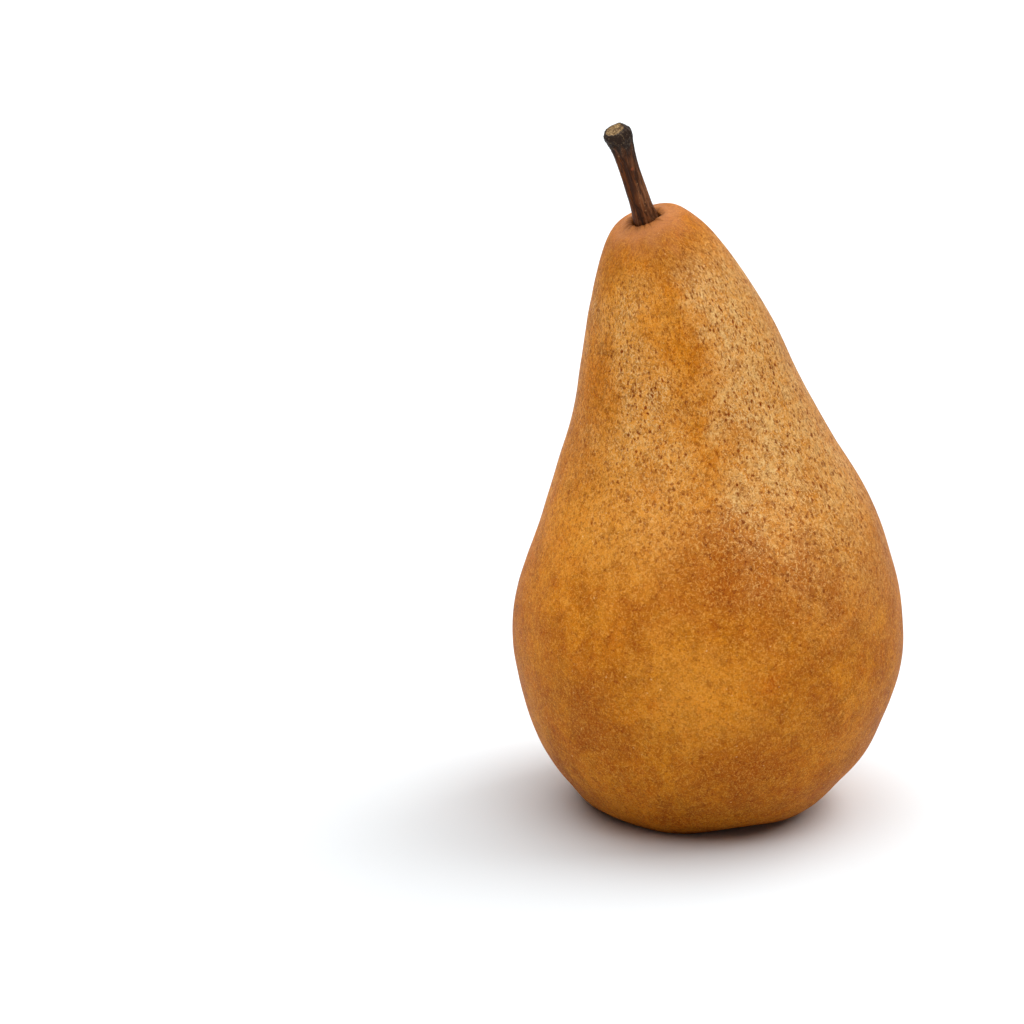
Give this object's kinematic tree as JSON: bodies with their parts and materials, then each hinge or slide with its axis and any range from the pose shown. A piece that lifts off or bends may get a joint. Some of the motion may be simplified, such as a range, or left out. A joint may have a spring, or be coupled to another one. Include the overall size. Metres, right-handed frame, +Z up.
{
  "type": "pear",
  "caption": "Whole russet winter pear standing on its base, with a leaning neck, a woody stem and a dried calyx underneath.",
  "frame": {"origin": "on the surface the pear stands on, under the middle of its box", "axes": "+Z up, towards the stem; the neck leans to -X and a little to -Y"},
  "size_m": [0.0707, 0.0708, 0.126],
  "materials": {
    "skin": "golden brown russet skin, satin, with fine pale flecks and darker dots",
    "bark": "dark brown ribbed bark with a pale corky cut face",
    "dried_leaf": "dry, matt, dark brown, crinkled"
  },
  "bodies": {
    "root": {"fruit": "skin", "stem": "bark", "calyx": "dried_leaf"}
  },
  "joints": []
}
